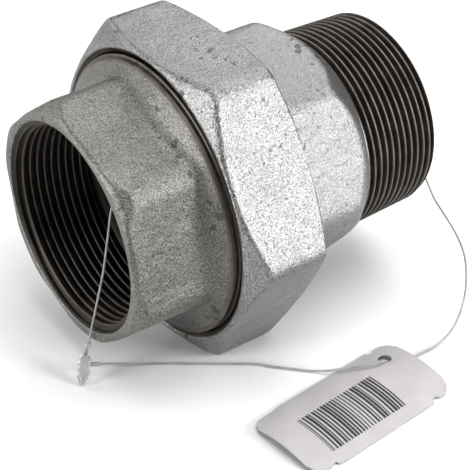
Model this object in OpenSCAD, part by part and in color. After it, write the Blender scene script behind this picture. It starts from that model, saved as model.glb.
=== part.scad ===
// Male and female pipe union, size 2 (DN 50), with a conical joint.
// The pipe axis lies along X. The female mouth faces -X and the male thread faces +X.
// The origin is under the middle of the union, level with the flat of the nut that it rests on.
// Units are millimetres.

/* [Pipe] */
// Length of the union from the female mouth to the male end
overall_l = 106; // [104:0.5:112]
// Pitch of the pipe threads and of the nut thread, 11 turns to the inch
pitch = 2.309; // [2.309]
// Major radius of the size 2 pipe thread at the gauge plane
pipe_thread_r = 29.807; // [29.807]
// Distance of the gauge plane from the male end
gauge_l = 15.9; // [12:0.1:19.8]
// Height of a full thread
thread_h = 1.479; // [1.479]

/* [Female end] */
// Width across the flats of the female wrench hexagon
female_af = 64.5; // [64:0.5:66]
// Radius of the edges of the female hexagon
female_edge_r = 7; // [3:0.5:9]
// Turn of the female hexagon about the pipe axis, from the nut's hexagon
female_turn = 41; // [0:1:59]
// Depth of the female thread
female_thread_l = 24; // [22:0.5:26]
// Radius of the edge of the mouth
mouth_r = 30.3; // [30:0.1:31]
// Radius of the cast face of the collar
collar_face_r = 38.9; // [38.5:0.1:39]
// Distance of the collar face from the mouth
collar_z = 25; // [24.5:0.5:25.5]
// Distance of the joint face from the mouth
joint_face_z = 40; // [39.5:0.1:40]

/* [Union nut] */
// Width across the flats of the nut
nut_af = 87; // [86:0.5:92]
// Length of the nut
nut_l = 24.6; // [24:0.1:26]
// Distance of the front of the nut from the female mouth
nut_z = 26.6; // [26.4:0.1:27]
// Radius of the opening of the nut, at its lead-in chamfer
nut_open_r = 42; // [41.5:0.1:42.2]
// Radius of the hole that the male end passes through
nut_lip_r = 36.6; // [36.5:0.1:37]

/* [Male end] */
// Width across the flats of the male wrench hexagon
male_af = 64.5; // [64:0.1:65]
// Radius of the edges of the male hexagon
male_edge_r = 8; // [7:0.5:9]
// Turn of the male hexagon about the pipe axis, from the nut's hexagon
male_turn = 51.5; // [0:0.5:59]
// Length of the male thread
male_thread_l = 26; // [25.7:0.1:26.4]
// Radius of the collar that the nut pulls on
male_collar_r = 38.4; // [37.5:0.1:38.6]
// Radius of the waterway through the male end
male_bore_r = 25.5; // [24:0.1:26]

/* [Hang tag] */
// Length of the tag
tag_l = 52; // [50:1:54]
// Width of the tag
tag_w = 27; // [26:0.5:28]
// Thickness of the tag
tag_t = 0.5; // [0.4:0.1:0.8]
// Height of the curl of the tag
tag_rise = 2.4; // [2.2:0.1:3]
// Diameter of the nylon loop
cord_d = 0.6; // [0.5:0.1:0.9]

/* [Hidden] */
$fn = 96;

axis_height = nut_af / 2;       // height of the pipe axis over the flat that the nut rests on
thread_land = 0.45;             // width of a crest and of a root
end_chamfer = 1.3;              // chamfer on the end of the male thread
ring_h = 0.8;                   // height of the rings of the nut joint
collar_crest_r = 39.9;          // crest radius of the rings on the female collar
nut_crest_r = 40.15;            // crest radius of the rings in the nut
seat_mid_r = 30.5;              // radius of the line where the cone and the ball of the seat meet
seat_mid_z = 35.5;              // distance of that line from the mouth
seat_rise = 7;                  // growth of the seat cone's radius ...
seat_run = 9;                   // ... over this length
seat_gap = 0.08;                // play between the cone and the ball at rest
collar_back_z = 46.1;           // back face of the male collar
shoulder_z = 46.2;              // face inside the nut that pulls on the collar
neck_r = 36.2;                  // radius of the male neck inside the lip of the nut
nut_corner_r = nut_af / 2 / cos(30);
female_corner_r = rounded_reach(female_af, female_edge_r);
male_corner_r = rounded_reach(male_af, male_edge_r);
male_thread_z = overall_l - male_thread_l;
thread_crest_r = pipe_thread_r - thread_h;   // minor radius, the crest of the female thread

// From a frame with the pipe axis along Z and the mouth at zero, to the frame of the part
module along_pipe() {
    translate([-overall_l / 2, 0, axis_height]) rotate([0, 90, 0]) children();
}

// Distance from the axis to the middle of a rounded edge of a hexagon
function rounded_reach(flats, edge_r) = (flats / 2 - edge_r) / cos(30) + edge_r;

// Hexagonal prism about the pipe axis with rounded edges. At a turn of zero it lines up with
// the nut, and a positive turn takes its upper edges toward +Y.
module rounded_hexagon(flats, edge_r, turn, from_z, to_z) {
    arc_steps = 5;
    centre_r = (flats / 2 - edge_r) / cos(30);
    outline = [for (side = [0 : 5], k = [0 : arc_steps])
        let (a = side * 60, b = a - 30 + k * 60 / arc_steps)
        [centre_r * cos(a) + edge_r * cos(b), centre_r * sin(a) + edge_r * sin(b)]];
    translate([0, 0, from_z]) rotate([0, 0, 30 - turn]) linear_extrude(to_z - from_z) polygon(outline);
}

// Outline of a row of thread rings, as [radius, height] points. Sign is 1 for rings that
// stand out of a shaft and -1 for rings that stand into a bore.
function ring_points(start, count, crest, height, grow, sign) =
    let (flank = (pitch - 2 * thread_land) / 2)
    [for (i = [0 : count - 1])
        let (z = start + i * pitch, r = crest + grow * i)
        each [[r - sign * height, z],
              [r, z + flank],
              [r, z + flank + thread_land],
              [r - sign * height, z + 2 * flank + thread_land]]];

// Solid of revolution about the pipe axis, from [radius, height] points
module turned(outline) {
    rotate_extrude() polygon(outline);
}

// Bore of the female end: mouth chamfer, thread, waterway and seat cone
module female_bore() {
    turn_count = 9;
    thread_start = 1.9;
    turned(concat(
        [[0, -1], [mouth_r + 1, -1], [mouth_r, 0]],
        ring_points(thread_start, turn_count, thread_crest_r, thread_h, 0, -1),
        [[pipe_thread_r, female_thread_l],
         [seat_mid_r - 4, female_thread_l + 2.5],
         [seat_mid_r - 4, seat_mid_z - 4.5],
         [seat_mid_r - 3.5, seat_mid_z - 3.5 * seat_run / seat_rise],
         [seat_mid_r + 4 * seat_rise / seat_run, seat_mid_z + 4],
         [seat_mid_r + 5 * seat_rise / seat_run, seat_mid_z + 5],
         [0, seat_mid_z + 5]]));
}

// Female end: hexagonal body, flared collar and the rings that the nut screws onto
module female_end() {
    hexagon_l = 24;
    rim_r = 33.6;
    rim_chamfer = 0.8;
    rim_l = 4.2;
    ring_start = 26.3;
    ring_count = 5;
    flare_r = 31.5;
    flare_start = 18.5;
    flare_steps = 5;
    flare = [for (k = [0 : flare_steps])
        let (s = k / flare_steps)
        [flare_r + (collar_face_r - flare_r) * pow(s, 1.5), flare_start + (collar_z - flare_start) * s]];
    color("darkgray") along_pipe() difference() {
        union() {
            intersection() {
                rounded_hexagon(female_af, female_edge_r, female_turn, 0, hexagon_l);
                turned([[0, 0], [rim_r - rim_chamfer, 0], [rim_r, rim_chamfer],
                        [female_corner_r + 0.1, rim_l],
                        [female_corner_r + 0.1, hexagon_l], [0, hexagon_l]]);
            }
            turned(concat(
                [[0, flare_start]], flare, [[collar_face_r + 0.4, collar_z + 0.7]],
                ring_points(ring_start, ring_count, collar_crest_r, ring_h, 0, 1),
                [[collar_crest_r - ring_h, joint_face_z - 0.6],
                 [collar_crest_r - ring_h - 0.6, joint_face_z], [0, joint_face_z]]));
        }
        female_bore();
    }
}

// Union nut: hexagon with chamfered corners, ringed bore and inner lip
module union_nut() {
    nut_end_z = nut_z + nut_l;
    corner_trim = 0.6;
    max_r = nut_corner_r - corner_trim;
    color("silver") along_pipe() difference() {
        intersection() {
            translate([0, 0, nut_z]) rotate([0, 0, 30]) cylinder(h = nut_l, r = nut_corner_r, $fn = 6);
            turned([[0, nut_z], [nut_open_r + 0.4, nut_z], [nut_open_r + 1.3, nut_z + 0.3],
                    [max_r, nut_z + 4.1], [max_r, nut_end_z - 2.4],
                    [nut_open_r + 2.4, nut_end_z - 0.3], [nut_open_r + 1.8, nut_end_z],
                    [0, nut_end_z]]);
        }
        turned(concat(
            [[0, nut_z - 1], [nut_open_r + 0.8, nut_z - 1], [nut_open_r, nut_z],
             [nut_crest_r + ring_h, nut_z + 2]],
            ring_points(nut_z + 2.2, 6, nut_crest_r, ring_h, 0, -1),
            [[nut_crest_r + ring_h, shoulder_z - 1.2], [nut_crest_r, shoulder_z - 0.4],
             [nut_crest_r - 0.4, shoulder_z], [nut_lip_r, shoulder_z],
             [nut_lip_r, nut_end_z - 1], [nut_lip_r + 1, nut_end_z + 0.01], [0, nut_end_z + 0.01]]));
    }
}

// Male end: ball nose, collar and neck inside the nut, hexagonal body and tapered pipe thread
module male_end() {
    ball_r = seat_mid_r * norm([seat_rise, seat_run]) / seat_run;
    ball_z = seat_mid_z + seat_mid_r * seat_rise / seat_run;
    nose_z = 32;
    collar_front_z = joint_face_z + 0.6;
    neck_end_z = nut_z + nut_l - 0.4;
    turn_count = 11;
    first_crest_r = pipe_thread_r + (male_thread_l - gauge_l) / 32;
    ring_grow = -pitch / 32;
    thread_end_r = pipe_thread_r - gauge_l / 32 - thread_h;
    color("darkgray") along_pipe() difference() {
        union() {
            intersection() {
                translate([0, 0, ball_z]) sphere(r = ball_r - seat_gap);
                translate([0, 0, nose_z]) cylinder(h = collar_front_z - nose_z + 1, r = seat_mid_r + 4);
            }
            turned([[0, collar_front_z], [male_collar_r - 0.6, collar_front_z],
                    [male_collar_r, collar_front_z + 0.6], [male_collar_r, collar_back_z - 0.4],
                    [male_collar_r - 0.4, collar_back_z], [0, collar_back_z]]);
            turned([[0, collar_back_z - 1], [neck_r, collar_back_z - 1], [neck_r, neck_end_z],
                    [0, neck_end_z]]);
            intersection() {
                rounded_hexagon(male_af, male_edge_r, male_turn, neck_end_z - 1, male_thread_z);
                turned([[0, neck_end_z - 2], [male_corner_r + 1, neck_end_z - 2],
                        [male_corner_r + 0.2, male_thread_z - 7.6],
                        [first_crest_r, male_thread_z], [0, male_thread_z]]);
            }
            turned(concat(
                [[0, male_thread_z - 2], [first_crest_r - 0.7, male_thread_z - 2]],
                ring_points(male_thread_z, turn_count, first_crest_r, thread_h, ring_grow, 1),
                [[thread_end_r, overall_l - end_chamfer / 2], [thread_end_r - 0.4, overall_l],
                 [0, overall_l]]));
        }
        turned([[0, nose_z - 1], [male_bore_r + 2, nose_z - 1], [male_bore_r, nose_z + 1],
                [male_bore_r, overall_l - 1], [male_bore_r + 1, overall_l + 0.01],
                [0, overall_l + 0.01]]);
    }
}

// Retail tag and its nylon loop. The tag lies on the surface beside the union, curled a
// little along its length, and the loop runs through its hole and through the waterway.
tag_centre = [-4.7, -63.8];     // middle of the tag on the surface
tag_yaw = 5;                    // turn of the tag about the vertical
tag_corner_r = 4;               // radius of the tag's corners
tag_hole = [19.4, 7];           // middle of the hole, from the middle of the tag
tag_hole_d = 4;                 // diameter of the hole

// Round points along the loop, from the lock to the hole, and from the hole to the male end
front_route = [[-54.3, -10.7, 4.1], [-48, -12.3, 2.2], [-42, -15, 0.8], [-36, -18.5, 0.45],
               [-30, -23, 0.45], [-23, -28.2, 0.45], [-15.5, -33.8, 0.45], [-12, -37.8, 0.45],
               [-8, -42, 0.45], [-4.5, -45.7, 0.5], [-1, -49.2, 1.3], [4, -53.5, 3],
               [9.5, -56.6, 3.7], [13, -56.8, 3.5]];
side_route = [[15.2, -56.6, 0.6], [18, -57.4, 0.45], [24, -58, 0.45], [31, -58, 0.6],
              [38, -56.8, 2.2], [44, -54, 5.4], [49, -50, 9.6], [53, -44.5, 14.2],
              [55, -38.5, 17.6], [55.6, -32, 21.2], [55.4, -28, 24]];
mouth_route = [[-54.8, -8.3, 7.4], [-54.4, -9, 10], [-54, -9.6, 13]];
lock_top = [-55, -8.4, 7];
lock_tip = [-59, -12.2, 0.8];

// Point on a smooth curve through four points, at the share t of its middle stretch
function curve_point(a, b, c, d, t) =
    0.5 * (2 * b + (c - a) * t + (2 * a - 5 * b + 4 * c - d) * t * t
           + (3 * b - a - 3 * c + d) * t * t * t);

// Points along a route, with steps points to each stretch
function smooth_route(p, steps) =
    let (n = len(p))
    concat([for (i = [0 : n - 2], k = [0 : steps - 1])
                curve_point(p[max(i - 1, 0)], p[i], p[i + 1], p[min(i + 2, n - 1)], k / steps)],
           [p[n - 1]]);

function unit(v) = v / norm(v);

// Tube of eight sides swept along a route
module cord(route, steps, side_hint) {
    p = smooth_route(route, steps);
    n = len(p);
    sides = 8;
    points = [for (i = [0 : n - 1])
        let (along = unit(p[min(i + 1, n - 1)] - p[max(i - 1, 0)]),
             across = unit(cross(along, side_hint)),
             over = cross(across, along))
        each [for (k = [0 : sides - 1])
            p[i] + cord_d / 2 * (cos(k * 360 / sides) * across + sin(k * 360 / sides) * over)]];
    walls = [for (i = [0 : n - 2], k = [0 : sides - 1])
        let (a = i * sides + k, b = i * sides + (k + 1) % sides)
        [a, b, b + sides, a + sides]];
    first_cap = [for (k = [sides - 1 : -1 : 0]) k];
    last_cap = [for (k = [0 : sides - 1]) (n - 1) * sides + k];
    polyhedron(points, concat(walls, [first_cap, last_cap]));
}

module hang_tag() {
    half_w = tag_w / 2;
    curl_r = (half_w * half_w + tag_rise * tag_rise) / (2 * tag_rise);
    color("gainsboro") translate([tag_centre.x, tag_centre.y, 0]) rotate([0, 0, tag_yaw])
        difference() {
            intersection() {
                translate([0, 0, tag_rise - curl_r]) rotate([0, 90, 0])
                    difference() {
                        translate([0, 0, -tag_l / 2]) cylinder(h = tag_l, r = curl_r + tag_t);
                        translate([0, 0, -tag_l / 2 - 1]) cylinder(h = tag_l + 2, r = curl_r);
                    }
                linear_extrude(tag_rise + 2) tag_outline();
            }
            translate([tag_hole.x, tag_hole.y, -1]) cylinder(h = tag_rise + 4, d = tag_hole_d);
        }
}

// Flat outline of the tag, with round corners
module tag_outline() {
    inner_l = tag_l / 2 - tag_corner_r;
    inner_w = tag_w / 2 - tag_corner_r;
    square([tag_l, 2 * inner_w], center = true);
    square([2 * inner_l, tag_w], center = true);
    for (x = [-inner_l, inner_l], y = [-inner_w, inner_w])
        translate([x, y]) circle(r = tag_corner_r);
}

// Lock of the loop: a ribbed head, and the arrow tip that has been pushed through it
module tag_lock() {
    reach = lock_tip - lock_top;
    lean = acos(reach.z / norm(reach));
    heading = atan2(reach.y, reach.x);
    head_l = 6.2;
    color("whitesmoke") translate(lock_top) rotate([0, 0, heading]) rotate([0, lean, 0]) {
        difference() {
            translate([-1.2, -1.8, 0.6]) cube([2.4, 3.6, head_l]);
            for (k = [1 : 4])
                translate([-1.3, -1.9, 0.6 + k * head_l / 5 - 0.3]) cube([2.6, 0.4, 0.6]);
        }
        cylinder(h = 0.8, r = 0.45);
        translate([0, 0, head_l + 0.4]) cylinder(h = 1.8, r = 0.5);
        translate([-0.5, -1, head_l + 1.4]) cube([1, 2, 1]);
    }
}

module tag_cord_mouth() {
    color("whitesmoke") cord(mouth_route, 2, [1, 0, 0]);
}

module tag_cord_front() {
    color("whitesmoke") cord(front_route, 3, [0, 0, 1]);
}

module tag_cord_side() {
    color("whitesmoke") cord(side_route, 3, [0, 0, 1]);
}

female_end();
union_nut();
male_end();
hang_tag();
tag_lock();
tag_cord_mouth();
tag_cord_front();
tag_cord_side();
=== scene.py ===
"""A size 2 (DN 50) galvanised pipe union, lying on one flat of its nut, with a hang tag on a nylon loop.

Shapes are worked out in millimetres in the union's own frame: x along the pipe axis from the female
mouth, r from the axis, and phi about the axis, from -Y at 0 to +Z at a quarter turn. Meshes are in
metres, in the frame of the CAD model.
"""
import math

import bpy
import numpy as np
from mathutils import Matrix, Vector, noise


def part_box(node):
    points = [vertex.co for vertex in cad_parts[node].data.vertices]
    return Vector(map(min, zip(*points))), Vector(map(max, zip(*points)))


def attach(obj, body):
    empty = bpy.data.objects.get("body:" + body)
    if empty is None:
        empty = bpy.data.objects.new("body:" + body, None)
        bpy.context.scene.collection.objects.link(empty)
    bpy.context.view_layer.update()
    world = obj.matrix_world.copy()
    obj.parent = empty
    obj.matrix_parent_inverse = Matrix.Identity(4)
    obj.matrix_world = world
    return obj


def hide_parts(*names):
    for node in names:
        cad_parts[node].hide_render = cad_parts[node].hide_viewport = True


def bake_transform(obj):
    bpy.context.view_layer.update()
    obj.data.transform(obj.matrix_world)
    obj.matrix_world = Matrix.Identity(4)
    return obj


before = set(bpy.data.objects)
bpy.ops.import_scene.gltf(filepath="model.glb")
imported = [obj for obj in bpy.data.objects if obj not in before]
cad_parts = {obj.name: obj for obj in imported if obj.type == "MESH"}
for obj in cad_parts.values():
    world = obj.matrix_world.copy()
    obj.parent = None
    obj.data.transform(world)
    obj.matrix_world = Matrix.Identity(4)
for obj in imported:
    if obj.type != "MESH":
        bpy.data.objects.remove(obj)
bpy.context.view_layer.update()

MM = 0.001
TURN = 2 * math.pi

# Places from the frame, in metres
nut_low, nut_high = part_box("union_nut")
mouth_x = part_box("female_end")[0].x
male_end_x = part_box("male_end")[1].x
axis_z = (nut_low.z + nut_high.z) / 2

# Sizes from the frame, in millimetres. The nut's two faces are measured from the mouth.
overall_l = (male_end_x - mouth_x) / MM
nut_front = (nut_low.x - mouth_x) / MM
nut_back = (nut_high.x - mouth_x) / MM
nut_flat_r = (nut_high.z - nut_low.z) / 2 / MM

# Pipe thread of size 2, 11 turns to the inch
PITCH = 2.309
THREAD_H = 1.479
PIPE_R = 29.807
GAUGE_L = 15.9
TAPER = 1 / 32

# The conical seat: the radius of the line where the ball meets it, that line's distance from the
# mouth, and the cone's rise and run
SEAT_R = 30.5
SEAT_X = 35.5
SEAT_RISE = 7
SEAT_RUN = 9

# Distance from the axis to a flat of either end's hexagon
BODY_FLAT_R = 32.25


# ---------------------------------------------------------------- camera

CAMERA_AZIMUTH = math.radians(-36.3)
CAMERA_ELEVATION = math.radians(36.0)
CAMERA_DISTANCE = 0.445
CAMERA_LENS = 120.3
CAMERA_SENSOR_W = 36
LOOK_AT = Vector((-0.0054, -0.0107, 0.0273))


def away(azimuth, elevation):
    """Unit vector toward an azimuth and elevation, in radians. Azimuth 0 is -Y."""
    return Vector((
        math.sin(azimuth) * math.cos(elevation),
        -math.cos(azimuth) * math.cos(elevation),
        math.sin(elevation),
    ))


def add_camera():
    """Camera with a long lens, on the side of the female mouth, looking down at the union."""
    data = bpy.data.cameras.new("camera")
    data.lens = CAMERA_LENS
    data.sensor_width = CAMERA_SENSOR_W
    data.clip_start = 0.01
    camera = bpy.data.objects.new("camera", data)
    back = away(CAMERA_AZIMUTH, CAMERA_ELEVATION)
    camera.location = LOOK_AT + back * CAMERA_DISTANCE
    camera.rotation_euler = (-back).to_track_quat("-Z", "Y").to_euler()
    bpy.context.collection.objects.link(camera)
    bpy.context.scene.camera = camera
    bpy.context.scene.view_settings.view_transform = "Standard"


add_camera()


# ---------------------------------------------------------------- material helpers

def new_material(name):
    """An empty material: its node tree, its Principled shader, and a function that adds a node."""
    material = bpy.data.materials.new(name)
    material.use_nodes = True
    tree = material.node_tree
    shader = tree.nodes["Principled BSDF"]

    def add(kind, inputs=None, **settings):
        node = tree.nodes.new(kind)
        for key, value in settings.items():
            setattr(node, key, value)
        for key, value in (inputs or {}).items():
            if isinstance(value, bpy.types.NodeSocket):
                tree.links.new(value, node.inputs[key])
            else:
                node.inputs[key].default_value = value
        return node

    return material, tree, shader, add


def ramp(add, factor, stops):
    """A colour ramp over (position, colour) stops."""
    node = add("ShaderNodeValToRGB", {"Fac": factor})
    elements = node.color_ramp.elements
    while len(elements) < len(stops):
        elements.new(0.5)
    for element, (position, colour) in zip(elements, stops):
        element.position = position
        element.color = (*colour, 1)
    return node.outputs["Color"]


def noise_at(add, coords, scale, detail=2.0, roughness=0.5):
    """Noise from 0 to 1, at a scale in waves to the metre."""
    inputs = {"Vector": coords, "Scale": scale, "Detail": detail, "Roughness": roughness}
    return add("ShaderNodeTexNoise", inputs).outputs["Fac"]


def calculated(add, operation, a, b=0.0):
    """Result of one Math node."""
    return add("ShaderNodeMath", {0: a, 1: b}, operation=operation).outputs[0]


def mapped(add, value, low, high, to_low, to_high):
    """A value moved from the range low to high into the range to_low to to_high, and held inside it."""
    node = add("ShaderNodeMapRange", {"Value": value, 1: low, 2: high, 3: to_low, 4: to_high})
    return node.outputs[0]


def mixed(add, factor, a, b, blend_type="MIX"):
    """Mix of two colours."""
    node = add("ShaderNodeMix", data_type="RGBA", blend_type=blend_type)
    tree = node.id_data
    for socket, value in ((0, factor), (6, a), (7, b)):
        if isinstance(value, bpy.types.NodeSocket):
            tree.links.new(value, node.inputs[socket])
        else:
            node.inputs[socket].default_value = value
    return node.outputs[2]


def bumped(add, height, strength, distance, under=None):
    """Normals of a bump of the given height, laid over those of another bump if there is one."""
    inputs = {"Height": height, "Strength": strength, "Distance": distance}
    if under is not None:
        inputs["Normal"] = under
    return add("ShaderNodeBump", inputs).outputs[0]


# ---------------------------------------------------------------- materials

# How the grain of a cast skin changes its colour: (value of the noise, share of change)
GRAIN_STOPS = [(0.32, -0.75), (0.45, -0.15), (0.56, 0.12), (0.7, 0.9)]

# The large pits and the small ones: scale of the pits, scale of the patches that they come in, the
# patch noise at which they start and are largest, and their largest size
PITS = [(330, 55, 0.50, 0.72, 0.44), (620, 300, 0.50, 0.75, 0.36)]
# How far a pit's edge is torn, in metres
PIT_TEAR = 0.0022
PIT_DARKNESS = 0.8
PIT_COLOUR = (0.05, 0.05, 0.05, 1)


def pit_mask(add, coords):
    """1 in the pits of a cast skin and 0 elsewhere. The pits have torn edges."""
    ragged = add("ShaderNodeTexNoise", {"Vector": coords, "Scale": 700, "Detail": 2}).outputs["Color"]
    tear = {0: ragged, 1: (PIT_TEAR, PIT_TEAR, PIT_TEAR), 2: coords}
    torn = add("ShaderNodeVectorMath", tear, operation="MULTIPLY_ADD").outputs[0]
    masks = []
    for scale, patch_scale, start, full, largest in PITS:
        distance = add("ShaderNodeTexVoronoi", {"Vector": torn, "Scale": scale}).outputs["Distance"]
        size = mapped(add, noise_at(add, coords, patch_scale), start, full, 0.0, largest)
        masks.append(calculated(add, "LESS_THAN", distance, size))
    return calculated(add, "MAXIMUM", *masks)


def galvanised(name, light, dark, seed, roughness, sand=1.0):
    """Hot-dip galvanised cast skin: blotches of grey, pits, and a grain as strong as sand says."""
    material, tree, shader, add = new_material(name)
    coords = add("ShaderNodeTexCoord").outputs["Object"]
    shift = {0: coords, 1: (seed, seed * 0.7, -seed)}
    moved = add("ShaderNodeVectorMath", shift, operation="ADD").outputs[0]
    blotches = ramp(add, noise_at(add, moved, 75, 4, 0.6), [(0.35, dark), (0.65, light)])
    grain = noise_at(add, moved, 2300, 2, 0.7)
    specks = ramp(add, grain, [(value, (1 + sand * change,) * 3) for value, change in GRAIN_STOPS])
    skin = mixed(add, 1.0, blotches, specks, "MULTIPLY")
    pitted = calculated(add, "MULTIPLY", pit_mask(add, moved), PIT_DARKNESS)
    tree.links.new(mixed(add, pitted, skin, PIT_COLOUR), shader.inputs["Base Color"])
    uneven = mapped(add, grain, 0.3, 0.7, roughness - 0.07, roughness + 0.07)
    tree.links.new(uneven, shader.inputs["Roughness"])
    shader.inputs["Metallic"].default_value = 0.9
    fine = bumped(add, grain, 0.6, 0.0003)
    tree.links.new(bumped(add, noise_at(add, moved, 420, 3), 0.5, 0.0006, fine), shader.inputs["Normal"])
    return material


def cut_metal(name, root, crest, crest_from=0.8):
    """Bare cut metal: the attribute crest is 0 in the roots and 1 on the crests of a thread. The root
    colour is painted shade and the crest colour is a painted highlight.
    """
    material, tree, shader, add = new_material(name)
    coords = add("ShaderNodeTexCoord").outputs["Object"]
    height = add("ShaderNodeAttribute", attribute_name="crest").outputs["Fac"]
    blotches = noise_at(add, coords, 260, 4, 0.6)
    # painted shade in the thread roots and a painted highlight on the crests, by the attribute crest
    painted_shade_and_highlight = ramp(add, height, [(0.0, root), (crest_from, root), (1.0, crest)])
    stain = ramp(add, blotches, [(0.3, (0.6, 0.55, 0.5)), (0.7, (1.25, 1.2, 1.15))])
    tree.links.new(mixed(add, 1.0, painted_shade_and_highlight, stain, "MULTIPLY"), shader.inputs["Base Color"])
    tree.links.new(mapped(add, blotches, 0.3, 0.7, 0.42, 0.58), shader.inputs["Roughness"])
    shader.inputs["Metallic"].default_value = 0.8
    tree.links.new(bumped(add, noise_at(add, coords, 2200), 0.25, 0.0001), shader.inputs["Normal"])
    return material


def nylon_material():
    """Milky, slightly clear nylon."""
    material, tree, shader, add = new_material("nylon")
    coords = add("ShaderNodeTexCoord").outputs["Object"]
    tone = ramp(add, noise_at(add, coords, 300), [(0.3, (0.24, 0.24, 0.235)), (0.7, (0.36, 0.36, 0.35))])
    tree.links.new(tone, shader.inputs["Base Color"])
    shader.inputs["Roughness"].default_value = 0.35
    shader.inputs["Transmission Weight"].default_value = 0.25
    shader.inputs["IOR"].default_value = 1.45
    return material


# The bars on the card, in mm from its middle: the ends of the row, its two sides, and the step from
# bar to bar. A bar's width is a share of the step.
BARS_ALONG = (-17.0, 10.4)
BARS_ACROSS = (-9.8, 4.2)
BAR_STEP = 1.1
BAR_WIDTHS = (0.35, 0.85)
PAPER = [(0.35, (0.335, 0.324, 0.322)), (0.7, (0.375, 0.363, 0.361))]
INK = (0.02, 0.02, 0.022, 1)


def card_material():
    """Coated card, with a generic row of bars on it. UV x runs along the tag and y across it, in mm."""
    material, tree, shader, add = new_material("tag_card")
    uv = add("ShaderNodeUVMap", uv_map="tag").outputs["UV"]
    split = add("ShaderNodeSeparateXYZ", {0: uv})
    x, y = split.outputs[0], split.outputs[1]

    def between(value, low, high):
        above = calculated(add, "GREATER_THAN", value, low)
        below = calculated(add, "LESS_THAN", value, high)
        return calculated(add, "MULTIPLY", above, below)

    # one bar to each step along the tag, each of its own width
    step = calculated(add, "DIVIDE", x, BAR_STEP)
    whole = calculated(add, "FLOOR", step)
    along = calculated(add, "SUBTRACT", step, whole)
    chance = add("ShaderNodeTexWhiteNoise", {"W": whole}, noise_dimensions="1D").outputs["Value"]
    bar = calculated(add, "LESS_THAN", along, mapped(add, chance, 0.0, 1.0, *BAR_WIDTHS))
    area = calculated(add, "MULTIPLY", between(x, *BARS_ALONG), between(y, *BARS_ACROSS))
    inked = calculated(add, "MULTIPLY", bar, area)
    coords = add("ShaderNodeTexCoord").outputs["Object"]
    paper = ramp(add, noise_at(add, coords, 120, 3), PAPER)
    tree.links.new(mixed(add, inked, paper, INK), shader.inputs["Base Color"])
    shader.inputs["Roughness"].default_value = 0.55
    shader.inputs["Specular IOR Level"].default_value = 0.25
    tree.links.new(bumped(add, noise_at(add, coords, 900), 0.12, 0.0002), shader.inputs["Normal"])
    return material


FEMALE_LIGHT, FEMALE_DARK = (0.156, 0.153, 0.142), (0.124, 0.122, 0.114)
MALE_LIGHT, MALE_DARK = (0.222, 0.222, 0.219), (0.192, 0.192, 0.191)
NUT_LIGHT, NUT_DARK = (0.222, 0.222, 0.219), (0.186, 0.187, 0.186)
TURNED_GREY = (0.11, 0.10, 0.092)

skin_female = galvanised("galvanised_female", FEMALE_LIGHT, FEMALE_DARK, seed=0.0, roughness=0.45)
skin_male = galvanised("galvanised_male", MALE_LIGHT, MALE_DARK, seed=1.7, roughness=0.40, sand=0.65)
skin_nut = galvanised("galvanised_nut", NUT_LIGHT, NUT_DARK, seed=3.1, roughness=0.38)
# Thread metals: the dark root colours are painted shade in the thread roots and in the deep waterways, and
# the crest colours are painted highlights
thread_metal_and_shade = cut_metal("cut_thread_and_shade", (0.022, 0.020, 0.018), (0.11, 0.10, 0.095))
outside_thread_and_shade = cut_metal("outside_thread_and_shade", (0.036, 0.032, 0.029), (0.14, 0.13, 0.12), crest_from=0.78)
turned_metal = cut_metal("turned_metal", TURNED_GREY, TURNED_GREY)
nylon = nylon_material()
card = card_material()


# ---------------------------------------------------------------- shape helpers

def smooth_min(a, b, k):
    """The smaller of a and b, rounded over where they are within k of each other."""
    h = np.clip(0.5 + 0.5 * (b - a) / k, 0, 1)
    return b * (1 - h) + a * h - k * h * (1 - h)


def smooth_max(a, b, k):
    """The larger of a and b, rounded over where they are within k of each other."""
    return -smooth_min(-a, -b, k)


def prism_radius(phi, sides, flat_r, edge_r, first_corner=0.0):
    """Radius of a regular prism whose corners are rounded to edge_r."""
    half = math.pi / sides
    off = np.abs((phi - first_corner + half) % (2 * half) - half)
    to_flat = half - off
    flat = flat_r / np.cos(to_flat)
    centre = (flat_r - edge_r) / math.cos(half)
    edge = centre * np.cos(off) + np.sqrt(np.maximum(edge_r ** 2 - (centre * np.sin(off)) ** 2, 0))
    tangent = math.atan2((flat_r - edge_r) * math.tan(half), flat_r)
    return np.where(to_flat > tangent, edge, flat)


def thread_height(x, phi, start, end, fade, phase=0.0, land=0.17):
    """Height of a right-hand thread, 0 in the roots and 1 on the crests, that fades out at both ends."""
    t = (x / PITCH + phi / TURN + phase) % 1.0
    u = np.abs(2 * t - 1)
    ridge = np.clip((u - land) / (1 - 2 * land), 0, 1)
    rounded = ridge * ridge * (3 - 2 * ridge) * 0.35 + ridge * 0.65
    return rounded * (np.clip((x - start) / fade, 0, 1) * np.clip((end - x) / fade, 0, 1))


def cast_noise(x, r, phi, seed):
    """Unevenness of a cast surface, in mm."""
    points = np.stack([x.ravel(), (-r * np.cos(phi)).ravel(), (r * np.sin(phi)).ravel()], 1)
    bumps = np.empty(len(points))
    for i, p in enumerate(points):
        v = Vector(p)
        wide = noise.noise(v / 7.0 + Vector((seed, 0, 0)))
        bumps[i] = 0.10 * wide + 0.035 * noise.noise(v / 1.6)
    return bumps.reshape(x.shape)


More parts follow.
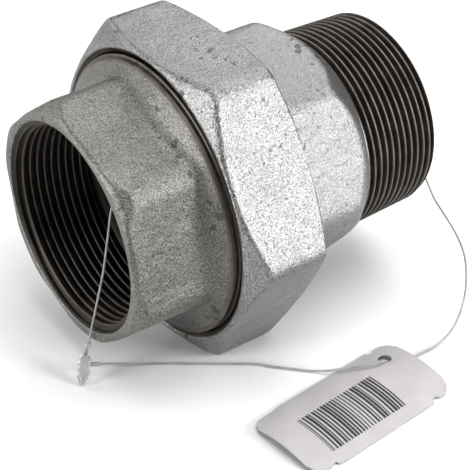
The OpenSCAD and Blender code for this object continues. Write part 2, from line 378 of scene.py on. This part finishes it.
def ring_mesh(name, x, r, phi, zone, materials, crest):
    """Closed mesh of a ring: rows x and r of one closed outline, turned through the angles phi."""
    rows, columns = r.shape
    y = -r * np.cos(phi)
    z = r * np.sin(phi)
    co = np.stack([mouth_x + x * MM, y * MM, axis_z + z * MM], 2).reshape(-1, 3)
    here = np.arange(rows)[:, None] * columns
    after = (np.arange(rows)[:, None] + 1) % rows * columns
    j = np.arange(columns)[None, :]
    j2 = (j + 1) % columns
    quads = np.stack([here + j, after + j, after + j2, here + j2], 2).reshape(-1, 4)
    mesh = bpy.data.meshes.new(name)
    mesh.vertices.add(len(co))
    mesh.vertices.foreach_set("co", co.ravel().astype(np.float32))
    mesh.loops.add(quads.size)
    mesh.loops.foreach_set("vertex_index", quads.ravel().astype(np.int32))
    mesh.polygons.add(len(quads))
    mesh.polygons.foreach_set("loop_start", np.arange(0, quads.size, 4, dtype=np.int32))
    for material in materials:
        mesh.materials.append(material)
    slots = np.broadcast_to(np.asarray(zone)[:, None], (rows, columns))
    mesh.polygons.foreach_set("material_index", slots.ravel().astype(np.int32))
    mesh.polygons.foreach_set("use_smooth", np.ones(len(quads), bool))
    attribute = mesh.attributes.new("crest", "FLOAT", "POINT")
    attribute.data.foreach_set("value", crest.ravel().astype(np.float32))
    mesh.update(calc_edges=True)
    mesh.validate()
    piece = bpy.data.objects.new(name, mesh)
    bpy.context.collection.objects.link(piece)
    return piece


def mesh_piece(name, co, faces, material, smooth=True):
    """Object from points in metres and faces."""
    mesh = bpy.data.meshes.new(name)
    mesh.from_pydata([tuple(c) for c in co], [], faces)
    mesh.materials.append(material)
    mesh.polygons.foreach_set("use_smooth", np.full(len(mesh.polygons), smooth))
    mesh.update()
    piece = bpy.data.objects.new(name, mesh)
    bpy.context.collection.objects.link(piece)
    return piece


def rows_between(a, b, step):
    """Stations from a to b, without b."""
    count = max(1, round(abs(b - a) / step))
    return [a + (b - a) * k / count for k in range(count)]


# Zones of a ring, in the order of its materials. The second zone, cut metal, also paints the deep
# waterways dark as shade.
SKIN, CUT_AND_SHADE, TURNED = 0, 1, 2
# Points round a ring, and the step between rows along a thread
COLUMNS = 288
THREAD_STEP = PITCH / 12
phi_row = np.arange(COLUMNS) * TURN / COLUMNS


class Outline:
    """The closed outline of a ring, row by row, with a radius for each angle."""

    def __init__(self):
        self.x, self.r, self.zone, self.crest, self.rough = [], [], [], [], []

    def add(self, x, r, zone, crest=0.0, rough=0.0):
        """One row at x. Its radius and crest may differ with the angle. Rough is 1 on a cast surface."""
        self.x.append(np.full(COLUMNS, float(x)))
        self.r.append(np.broadcast_to(np.asarray(r, float), (COLUMNS,)))
        self.crest.append(np.broadcast_to(np.asarray(crest, float), (COLUMNS,)))
        self.zone.append(zone)
        self.rough.append(rough)

    def build(self, name, materials, seed):
        """The ring, with its cast rows made uneven."""
        x, r, crest, rough = (np.array(rows) for rows in (self.x, self.r, self.crest, self.rough))
        phi = np.broadcast_to(phi_row, x.shape)
        cast = rough > 0
        bumps = np.zeros(x.shape)
        bumps[cast] = cast_noise(x[cast], r[cast], phi[cast], seed)
        return ring_mesh(name, x, r + bumps * rough[:, None], phi, self.zone, materials, crest)


# ---------------------------------------------------------------- the union

RIM_R = 33.5            # the cone that cuts the female hexagon's corners back: its radius at the mouth ...
RIM_SLOPE = 0.75        # ... and its growth
FLARE_X = 18.5          # where the flare of the collar starts
FLARE_R = 31.5          # radius of the flare at its start ...
FLARE_RISE = 7.4        # ... and its growth up to the collar
COLLAR_X = 25.0         # cast edge of the collar
COLLAR_ROOT_R = 39.05   # root of the joint thread on the collar
COLLAR_THREAD_H = 1.45
JOINT_FACE_X = 40.0     # end face of the female end, inside the nut
FEMALE_BORE_R = 26.5    # waterway behind the female thread
FEMALE_CREST_R = 28.33  # crests of the female thread


def female_end():
    """Hexagonal body with a flared collar, the joint thread, the conical seat and the Rp 2 thread."""
    out = Outline()
    hexagon = prism_radius(phi_row, 6, BODY_FLAT_R, 7.0, math.radians(41))
    # mouth rim and hexagonal body
    for x, inset in ((0.0, 1.1), (0.12, 0.7), (0.35, 0.35), (0.7, 0.1)):
        out.add(x, smooth_min(hexagon, RIM_R + x * RIM_SLOPE, 0.9) - inset, SKIN, rough=0.7)
    for x in rows_between(1.1, COLLAR_X, 0.35):
        body = smooth_min(hexagon, RIM_R + x * RIM_SLOPE, 0.9)
        s = max(0.0, (x - FLARE_X) / (COLLAR_X - FLARE_X))
        out.add(x, smooth_max(body, FLARE_R + FLARE_RISE * s ** 1.5, 3.0), SKIN, rough=1.0)
    # cast edge of the collar, then the turned face
    out.add(COLLAR_X, 38.75, SKIN, rough=0.5)
    out.add(COLLAR_X + 0.15, 38.95, SKIN, rough=0.3)
    out.add(COLLAR_X + 0.2, 39.0, TURNED)
    out.add(COLLAR_X + 0.25, COLLAR_ROOT_R, TURNED)
    out.add(COLLAR_X + 0.75, 40.1, TURNED)
    start = COLLAR_X + 0.9
    end = JOINT_FACE_X - 0.6
    for x in rows_between(start, end, THREAD_STEP):
        crest = thread_height(x, phi_row, start - 0.9, end, 1.0, land=0.2)
        zone = CUT_AND_SHADE if x > COLLAR_X + 2 else TURNED
        out.add(x, COLLAR_ROOT_R + COLLAR_THREAD_H * crest, zone, crest=crest)
    out.add(JOINT_FACE_X - 0.5, 38.9, TURNED)
    out.add(JOINT_FACE_X, 38.3, TURNED)
    out.add(JOINT_FACE_X, 34.2, TURNED)
    # conical seat and waterway
    seat_end = 31.0
    for x in rows_between(JOINT_FACE_X - 0.1, seat_end, 1.0):
        out.add(x, SEAT_R + (x - SEAT_X) * SEAT_RISE / SEAT_RUN + 0.02, TURNED)
    out.add(seat_end, FEMALE_BORE_R + 0.1, TURNED)
    # the waterway behind the thread gets the thread metal's dark root colour: painted shade deep in the
    # bore
    out.add(seat_end - 0.2, FEMALE_BORE_R, CUT_AND_SHADE, rough=0.5)
    out.add(28.5, FEMALE_BORE_R, CUT_AND_SHADE, rough=0.5)
    out.add(26.5, FEMALE_BORE_R + 0.1, CUT_AND_SHADE, rough=0.5)
    out.add(24.6, 29.4, CUT_AND_SHADE)
    # female pipe thread
    start = 0.7
    end = 24.3
    for x in rows_between(end, start, THREAD_STEP):
        crest = thread_height(x, phi_row, start - 0.6, end, 1.0, phase=0.2)
        mouth = np.clip(2.1 - x, 0, 9) * 0.9 + FEMALE_CREST_R
        out.add(x, np.maximum(PIPE_R - THREAD_H * crest, mouth), CUT_AND_SHADE, crest=crest)
    out.add(0.45, 30.0, CUT_AND_SHADE)
    out.add(0.15, 30.35, SKIN, rough=0.3)
    out.add(0.0, 30.75, SKIN, rough=0.3)
    out.add(0.0, 31.0, SKIN, rough=0.3)
    piece = out.build("female_end_cast", [skin_female, thread_metal_and_shade, turned_metal], 0.0)
    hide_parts("female_end")
    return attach(piece, "female_body")


NUT_EDGE_R = 4.2        # radius of the edges of the nut's hexagon
FRONT_BEVEL_L = 5.2     # reach of the rounded bevel at the front of the nut
BACK_BEVEL_L = 2.6      # and at its back
SHOULDER_X = 46.2       # face inside the nut that pulls on the male collar
NUT_LIP_R = 36.62
NUT_ROOT_R = 40.95      # root of the joint thread in the nut
NUT_THREAD_H = 1.5


def union_nut():
    """Hexagon nut with a bevelled front, the joint thread inside and a lip at the back."""
    out = Outline()
    hexagon = prism_radius(phi_row, 6, nut_flat_r, NUT_EDGE_R)
    front, back = nut_front, nut_back
    # front face, bevels and flats
    out.add(front + 0.25, 42.05, SKIN, rough=0.3)
    out.add(front, 42.35, SKIN, rough=0.5)
    for x in rows_between(front + 0.05, front + FRONT_BEVEL_L, 0.2):
        out.add(x, smooth_min(hexagon, 43.2 + (x - front) * 1.6, 1.6), SKIN, rough=1.0)
    for x in rows_between(front + FRONT_BEVEL_L, back - BACK_BEVEL_L, 0.7):
        out.add(x, hexagon, SKIN, rough=1.0)
    for x in rows_between(back - BACK_BEVEL_L, back, 0.2):
        out.add(x, smooth_min(hexagon, 44.1 + (back - x) * 2.4, 1.6), SKIN, rough=1.0)
    # back face and lip
    for r in (42.6, 40.0, 38.0):
        out.add(back, r, SKIN, rough=0.6)
    out.add(back - 0.4, 36.9, SKIN, rough=0.3)
    out.add(back - 1.0, NUT_LIP_R + 0.03, TURNED)
    for x in rows_between(back - 1.5, SHOULDER_X, 1.0):
        out.add(x, NUT_LIP_R, TURNED)
    out.add(SHOULDER_X, NUT_LIP_R + 0.03, TURNED)
    out.add(SHOULDER_X, 39.7, TURNED)
    out.add(SHOULDER_X - 0.3, 40.2, TURNED)
    out.add(SHOULDER_X - 0.8, 40.9, TURNED)
    # joint thread and lead-in
    start = front + 1.6
    end = SHOULDER_X - 1.8
    out.add(end + 0.3, 40.9, TURNED)
    for x in rows_between(end, start, THREAD_STEP):
        crest = thread_height(x, phi_row, start - 0.8, end, 1.0, phase=0.5, land=0.2)
        out.add(x, NUT_ROOT_R - NUT_THREAD_H * crest, CUT_AND_SHADE, crest=crest)
    out.add(front + 1.3, 41.1, TURNED)
    out.add(front + 0.7, 41.7, TURNED)
    piece = out.build("union_nut_cast", [skin_nut, thread_metal_and_shade, turned_metal], 5.0)
    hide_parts("union_nut")
    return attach(piece, "nut")


MALE_THREAD_L = 26.0
NOSE_X = 32.1           # tip of the ball nose
MALE_COLLAR_X = 40.6    # front and back faces of the collar inside the nut
MALE_COLLAR_BACK_X = 46.1
MALE_COLLAR_R = 38.3
NECK_R = 36.15
MALE_BODY_X = 50.8      # where the hexagonal body starts, inside the lip of the nut
MALE_BORE_R = 25.5
BORE_SHADE_END_X = 56        # the waterway has the cast skin from here to the male end; deeper in, it is painted dark as shade


def male_end():
    """Ball nose, collar and neck inside the nut, hexagonal body and the R 2 tapered thread."""
    out = Outline()
    hexagon = prism_radius(phi_row, 6, BODY_FLAT_R, 8.0, math.radians(51.5))
    thread_x = overall_l - MALE_THREAD_L
    # ball nose, collar and neck
    ball_x = SEAT_X + SEAT_R * SEAT_RISE / SEAT_RUN
    ball_r = SEAT_R * math.hypot(SEAT_RISE, SEAT_RUN) / SEAT_RUN - 0.1
    out.add(NOSE_X, 27.3, TURNED)
    for x in rows_between(NOSE_X + 0.3, MALE_COLLAR_X, 0.8):
        out.add(x, math.sqrt(ball_r ** 2 - (ball_x - x) ** 2), TURNED)
    out.add(MALE_COLLAR_X, 34.0, TURNED)
    out.add(MALE_COLLAR_X, MALE_COLLAR_R - 0.7, TURNED)
    out.add(MALE_COLLAR_X + 0.3, MALE_COLLAR_R - 0.2, TURNED)
    out.add(MALE_COLLAR_X + 0.8, MALE_COLLAR_R, TURNED)
    out.add(MALE_COLLAR_BACK_X - 0.4, MALE_COLLAR_R, TURNED)
    out.add(MALE_COLLAR_BACK_X, MALE_COLLAR_R - 0.4, TURNED)
    out.add(MALE_COLLAR_BACK_X, NECK_R, TURNED)
    out.add(MALE_BODY_X - 0.05, NECK_R, SKIN)
    # hexagonal body, whose corners a cone cuts back toward the thread
    for x in rows_between(MALE_BODY_X, thread_x - 0.1, 0.5):
        bevel = 30.0 + (thread_x - x) * 0.8
        out.add(x, smooth_min(hexagon, bevel, 1.0), SKIN, rough=min(1.0, (thread_x - x) / 2))
    out.add(thread_x, 29.9, SKIN)
    # tapered pipe thread
    start = thread_x + 0.1
    end = overall_l - 0.25
    for x in rows_between(start, end, THREAD_STEP):
        crest = thread_height(x, phi_row, start - 1.2, end + 1.5, 1.2, phase=0.35)
        crest_r = PIPE_R + (overall_l - x - GAUGE_L) * TAPER
        chamfer = 27.9 + (overall_l - x) * 1.1
        out.add(x, np.minimum(crest_r - THREAD_H * (1 - crest), chamfer), CUT_AND_SHADE, crest=crest)
    # end face and waterway
    out.add(overall_l - 0.1, 27.9, SKIN)
    out.add(overall_l, 27.6, SKIN, rough=0.2)
    out.add(overall_l, 26.6, SKIN, rough=0.3)
    out.add(overall_l - 0.3, MALE_BORE_R + 0.3, SKIN, rough=0.3)
    # deeper in the bore the waterway gets the thread metal's dark root colour: painted shade
    for x in rows_between(overall_l - 1.0, 34.0, 2.5):
        out.add(x, MALE_BORE_R, SKIN if x > BORE_SHADE_END_X else CUT_AND_SHADE, rough=1.0)
    out.add(33.0, MALE_BORE_R + 0.1, CUT_AND_SHADE)
    out.add(NOSE_X, 26.3, TURNED)
    piece = out.build("male_end_cast", [skin_male, outside_thread_and_shade, turned_metal], 9.0)
    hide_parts("male_end")
    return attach(piece, "male_body")


# ---------------------------------------------------------------- nylon loop

CORD_D = 0.6
CORD_SIDES = 12

# The loop, in mm in the CAD frame: from the top of the lock, through the union to the tag, and back
LOOP = [
    (-54.8, -8.3, 7.4), (-54.4, -9, 10), (-54, -9.6, 13), (-53.7, -11.6, 20), (-53.4, -14.3, 29),
    (-52.6, -16.9, 40), (-51.4, -18.1, 51), (-49.2, -17.6, 59.5), (-45, -17.2, 64), (-38, -17, 64),
    (-28, -17, 60.5), (-10, -19.5, 55.5), (10, -21.5, 49), (30, -22.8, 42), (44, -22.8, 37.5),
    (50.5, -23.2, 35), (53.6, -23.9, 31.8), (54.8, -25.3, 28.2), (55.4, -28, 24), (55.6, -32, 21.2),
    (55, -38.5, 17.6), (53, -44.5, 14.2), (49, -50, 9.6), (44, -54, 5.4), (38, -56.8, 2.2),
    (31, -58, 0.6), (24, -58, 0.45), (18, -57.4, 0.45), (15.2, -56.6, 0.9), (13.6, -56.4, 2.2),
    (12, -56.7, 3.5), (9.5, -56.6, 3.7), (4, -53.5, 3), (-1, -49.2, 1.3), (-4.5, -45.7, 0.5),
    (-8, -42, 0.45), (-12, -37.8, 0.45), (-15.5, -33.8, 0.45), (-23, -28.2, 0.45), (-30, -23, 0.45),
    (-36, -18.5, 0.45), (-42, -15, 0.8), (-48, -12.3, 2.2), (-54.3, -10.7, 4.1),
]


def smooth_path(points, steps):
    """Catmull-Rom curve through points."""
    p = np.array(points, float)
    p = np.vstack([p[0], p, p[-1]])
    path = []
    for i in range(1, len(p) - 2):
        a, b, c, d = p[i - 1], p[i], p[i + 1], p[i + 2]
        for k in range(steps):
            t = k / steps
            path.append(0.5 * (2 * b + (c - a) * t + (2 * a - 5 * b + 4 * c - d) * t ** 2
                               + (3 * b - a - 3 * c + d) * t ** 3))
    path.append(p[-2])
    return np.array(path)


def tube_mesh(name, path, radius, material):
    """Closed tube along a path, in metres, with a frame that turns as little as it can."""
    n = len(path)
    tangent = np.gradient(path, axis=0)
    tangent /= np.linalg.norm(tangent, axis=1)[:, None]
    side = np.cross(tangent[0], (0, 1, 0))
    co = []
    for i in range(n):
        side = side - tangent[i] * np.dot(side, tangent[i])
        side /= np.linalg.norm(side)
        over = np.cross(tangent[i], side)
        for k in range(CORD_SIDES):
            a = TURN * k / CORD_SIDES
            co.append(path[i] + radius * (math.cos(a) * side + math.sin(a) * over))
    faces = []
    for i in range(n - 1):
        for k in range(CORD_SIDES):
            a, b = i * CORD_SIDES + k, i * CORD_SIDES + (k + 1) % CORD_SIDES
            faces.append((a, b, b + CORD_SIDES, a + CORD_SIDES))
    faces.append(tuple(range(CORD_SIDES - 1, -1, -1)))
    faces.append(tuple((n - 1) * CORD_SIDES + k for k in range(CORD_SIDES)))
    return mesh_piece(name, co, faces, material)


def nylon_loop():
    """The whole cord, one smooth run from the lock round to the lock again."""
    path = smooth_path(LOOP, 5) * MM
    piece = tube_mesh("nylon_loop", path, CORD_D / 2 * MM, nylon)
    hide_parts("tag_cord_mouth", "tag_cord_front", "tag_cord_side")
    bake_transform(piece)
    return piece


# ---------------------------------------------------------------- hang tag

TAG_CENTRE = (-4.7, -63.8)
TAG_YAW = math.radians(5)
TAG_L, TAG_W, TAG_CORNER = 52, 27, 4
TAG_RISE = 2.4
TAG_HOLE, TAG_HOLE_R = (19.4, 7.0), 2.0
TAG_FACES = (0.05, 0.45)    # heights of the card's two faces over the curve that it is curled to
TAG_NOTCH_X = 6.8           # distance of the notches in the long edges from the ends of the tag
TAG_NOTCH_R = 1.3
TAG_END_INSET = 0.5         # how much narrower the tag is past the notches, on each side
TAG_SPOKES, TAG_RINGS = 240, 40


def tag_reach(direction):
    """Distance from the middle of the hole to the edge of the tag, by halving."""
    inner_l = TAG_L / 2 - TAG_CORNER
    inner_w = TAG_W / 2 - TAG_CORNER
    low, high = 0.0, 60.0
    for _ in range(40):
        mid = (low + high) / 2
        p = Vector(TAG_HOLE) + direction * mid
        q = Vector((max(abs(p.x) - inner_l, 0), max(abs(p.y) - inner_w, 0)))
        narrow = abs(p.x) > TAG_L / 2 - TAG_NOTCH_X and abs(p.y) > inner_w
        corner = TAG_CORNER - (TAG_END_INSET if narrow else 0.0)
        notch = math.hypot(abs(p.x) - TAG_L / 2 + TAG_NOTCH_X, abs(p.y) - TAG_W / 2) < TAG_NOTCH_R
        inside = q.length < corner and not notch
        low, high = (mid, high) if inside else (low, mid)
    return low


def tag_point(x, y, up):
    """Point of the curled tag in metres, from its place on the flat card and its height over the curve."""
    half_w = TAG_W / 2
    curl_r = (half_w ** 2 + TAG_RISE ** 2) / (2 * TAG_RISE)
    z = max(math.sqrt(max(curl_r ** 2 - y ** 2, 0)) - (curl_r - TAG_RISE), 0.0)
    c, s = math.cos(TAG_YAW), math.sin(TAG_YAW)
    across_x = TAG_CENTRE[0] + x * c - y * s
    across_y = TAG_CENTRE[1] + x * s + y * c
    return Vector((across_x * MM, across_y * MM, (z + up) * MM))


def hang_tag():
    """Curled card with a round hole, and a notch near each end of its long edges."""
    hole = Vector(TAG_HOLE)
    angles = [TURN * j / TAG_SPOKES for j in range(TAG_SPOKES)]
    directions = [Vector((math.cos(a), math.sin(a))) for a in angles]
    reaches = [tag_reach(d) for d in directions]
    co, uv = [], []
    for up in TAG_FACES:
        for k in range(TAG_RINGS + 1):
            for d, reach in zip(directions, reaches):
                p = hole + d * (TAG_HOLE_R + (reach - TAG_HOLE_R) * k / TAG_RINGS)
                co.append(tag_point(p.x, p.y, up))
                uv.append((p.x, p.y))
    layer = (TAG_RINGS + 1) * TAG_SPOKES
    faces = []
    for k in range(TAG_RINGS):
        for j in range(TAG_SPOKES):
            a, b = k * TAG_SPOKES + j, k * TAG_SPOKES + (j + 1) % TAG_SPOKES
            faces.append((a + layer, a + layer + TAG_SPOKES, b + layer + TAG_SPOKES, b + layer))
            faces.append((a, b, b + TAG_SPOKES, a + TAG_SPOKES))
    # walls of the hole and of the outer edge
    for k in (0, TAG_RINGS):
        for j in range(TAG_SPOKES):
            a, b = k * TAG_SPOKES + j, k * TAG_SPOKES + (j + 1) % TAG_SPOKES
            quad = (a, a + layer, b + layer, b)
            faces.append(quad if k == 0 else quad[::-1])
    piece = mesh_piece("tag_card", co, faces, card, smooth=False)
    layer_uv = piece.data.uv_layers.new(name="tag")
    index = np.empty(len(piece.data.loops), np.int32)
    piece.data.loops.foreach_get("vertex_index", index)
    layer_uv.data.foreach_set("uv", np.array(uv)[index].ravel().astype(np.float32))
    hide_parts("hang_tag")
    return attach(piece, "male_body")


# ---------------------------------------------------------------- lock of the loop

LOCK_TOP = Vector((-55, -8.4, 7))
LOCK_TIP = Vector((-59, -12.2, 0.8))
HEAD_START = 0.7
HEAD_L = 6.0
HEAD_SLICES = 32
RIB_PITCH = 1.5

# Stem and bead over the head: (share of the way to the loop's second point, diameter)
STEM = [(-0.1, 1.3), (0.3, 1.1), (0.6, 1.1), (0.7, 1.6), (0.85, 2.0), (1.0, 2.1), (1.15, 1.7), (1.3, 0.9)]
# Stub where the cord leaves the lock, and the arrow tip: (distance, diameter)
STUB = [(-1.8, 1.2), (0.4, 1.2), (1.4, 1.2), (2.6, 0.7)]
ARROW = [(6.5, 1.2), (8.2, 1.0), (8.6, 1.6), (9.0, 0.8)]


def tag_lock():
    """Ribbed lock head on the loop, with the arrow tip pushed through it."""
    top = LOCK_TOP * MM
    along = (LOCK_TIP * MM - top).normalized()
    side = along.cross(Vector((0, 0, 1))).normalized()
    over = side.cross(along)
    co, faces = [], []

    def loft(sections):
        """Closed form through rings of points."""
        base = len(co)
        for ring in sections:
            co.extend(ring)
        n = len(sections[0])
        for i in range(len(sections) - 1):
            for k in range(n):
                a, b = base + i * n + k, base + i * n + (k + 1) % n
                faces.append((a, b, b + n, a + n))
        faces.append(tuple(base + k for k in range(n))[::-1])
        faces.append(tuple(base + (len(sections) - 1) * n + k for k in range(n)))

    def oval(s, wide, thick, corners=24, power=2.0):
        """Ring at s down the lock, in mm: an ellipse at power 2, and squarer at a higher power."""
        ring = []
        for k in range(corners):
            c, d = math.cos(TURN * k / corners), math.sin(TURN * k / corners)
            a = wide / 2 * math.copysign(abs(c) ** (2 / power), c)
            b = thick / 2 * math.copysign(abs(d) ** (2 / power), d)
            ring.append(top + (along * s + side * a + over * b) * MM)
        return ring

    def turned(start, way, stations):
        """Round form through (share of the way, diameter) stations, from start along way, in mm."""
        u = way.cross(side).normalized()
        v = way.cross(u).normalized()
        angles = [TURN * k / 16 for k in range(16)]
        loft([[(start + way * t + (u * math.cos(a) + v * math.sin(a)) * wide / 2) * MM for a in angles]
              for t, wide in stations])

    # ribbed head, rounded at its ends
    head = []
    for k in range(HEAD_SLICES + 1):
        s = HEAD_START + HEAD_L * k / HEAD_SLICES
        rib = 0.3 * (1 + math.cos(TURN * (s - HEAD_START) / RIB_PITCH))
        end = min(1.0, 0.6 + 0.1 * min(k, HEAD_SLICES - k))
        head.append(oval(s, (3.4 + rib) * end, 2.4 * end, power=2.8))
    loft(head)
    turned(LOCK_TOP, Vector(LOOP[1]) - LOCK_TOP, STEM)
    cord_start = Vector(LOOP[-1])
    turned(cord_start, (Vector(LOOP[-2]) - cord_start).normalized(), STUB)
    # arrow tip with its two barbs
    loft([oval(s, wide, wide, 16) for s, wide in ARROW])
    for sign in (-1, 1):
        barb = []
        for t in (1, 0.66, 0.33, 0):
            shift = side * sign * (0.35 + 1.05 * t) * MM
            barb.append([point + shift for point in oval(8.7 - 2.0 * t, 0.6, 0.8, 12)])
        loft(barb)
    piece = mesh_piece("lock_head", co, faces, nylon)
    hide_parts("tag_lock")
    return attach(piece, "female_body")


# ---------------------------------------------------------------- stage

# Half the side of the floor and its height, in metres
FLOOR_HALF = 3
FLOOR_Z = -0.0002
FLOOR_GREY = (0.66, 0.66, 0.66, 1)
WORLD_STRENGTH = 0.15

# Round area lights: name, azimuth and elevation in degrees, distance and size in metres, power in watts
LIGHTS = [
    ("key", 30, 18, 0.9, 0.36, 9.5),
    ("back", 138, 40, 1.1, 0.6, 5),
    ("over", 30, 76, 1.0, 0.9, 12),
    ("left", -102, 11, 1.1, 0.4, 13),
    ("rear", -160, 28, 1.1, 0.5, 4),
]


def add_floor():
    """Plain pale floor just under the union."""
    material, _, shader, _ = new_material("floor")
    shader.inputs["Base Color"].default_value = FLOOR_GREY
    shader.inputs["Roughness"].default_value = 0.7
    corners = [(-1, -1), (1, -1), (1, 1), (-1, 1)]
    co = [(x * FLOOR_HALF, y * FLOOR_HALF, FLOOR_Z) for x, y in corners]
    mesh_piece("floor", co, [(0, 1, 2, 3)], material, smooth=False)


def add_light(name, azimuth, elevation, distance, size, power):
    """Round area light that faces the middle of the union."""
    data = bpy.data.lights.new(name, "AREA")
    data.shape = "DISK"
    data.size = size
    data.energy = power
    light = bpy.data.objects.new(name, data)
    back = away(math.radians(azimuth), math.radians(elevation))
    light.location = Vector((0, 0, axis_z)) + back * distance
    light.rotation_euler = (-back).to_track_quat("-Z", "Y").to_euler()
    bpy.context.collection.objects.link(light)


def add_world():
    """Even, dim light from all round."""
    world = bpy.data.worlds.new("world")
    world.use_nodes = True
    background = world.node_tree.nodes["Background"]
    background.inputs["Color"].default_value = (1, 1, 1, 1)
    background.inputs["Strength"].default_value = WORLD_STRENGTH
    bpy.context.scene.world = world


add_floor()
for light_row in LIGHTS:
    add_light(*light_row)
add_world()
female_end()
union_nut()
male_end()
tag = hang_tag()
lock = tag_lock()
nylon_loop()
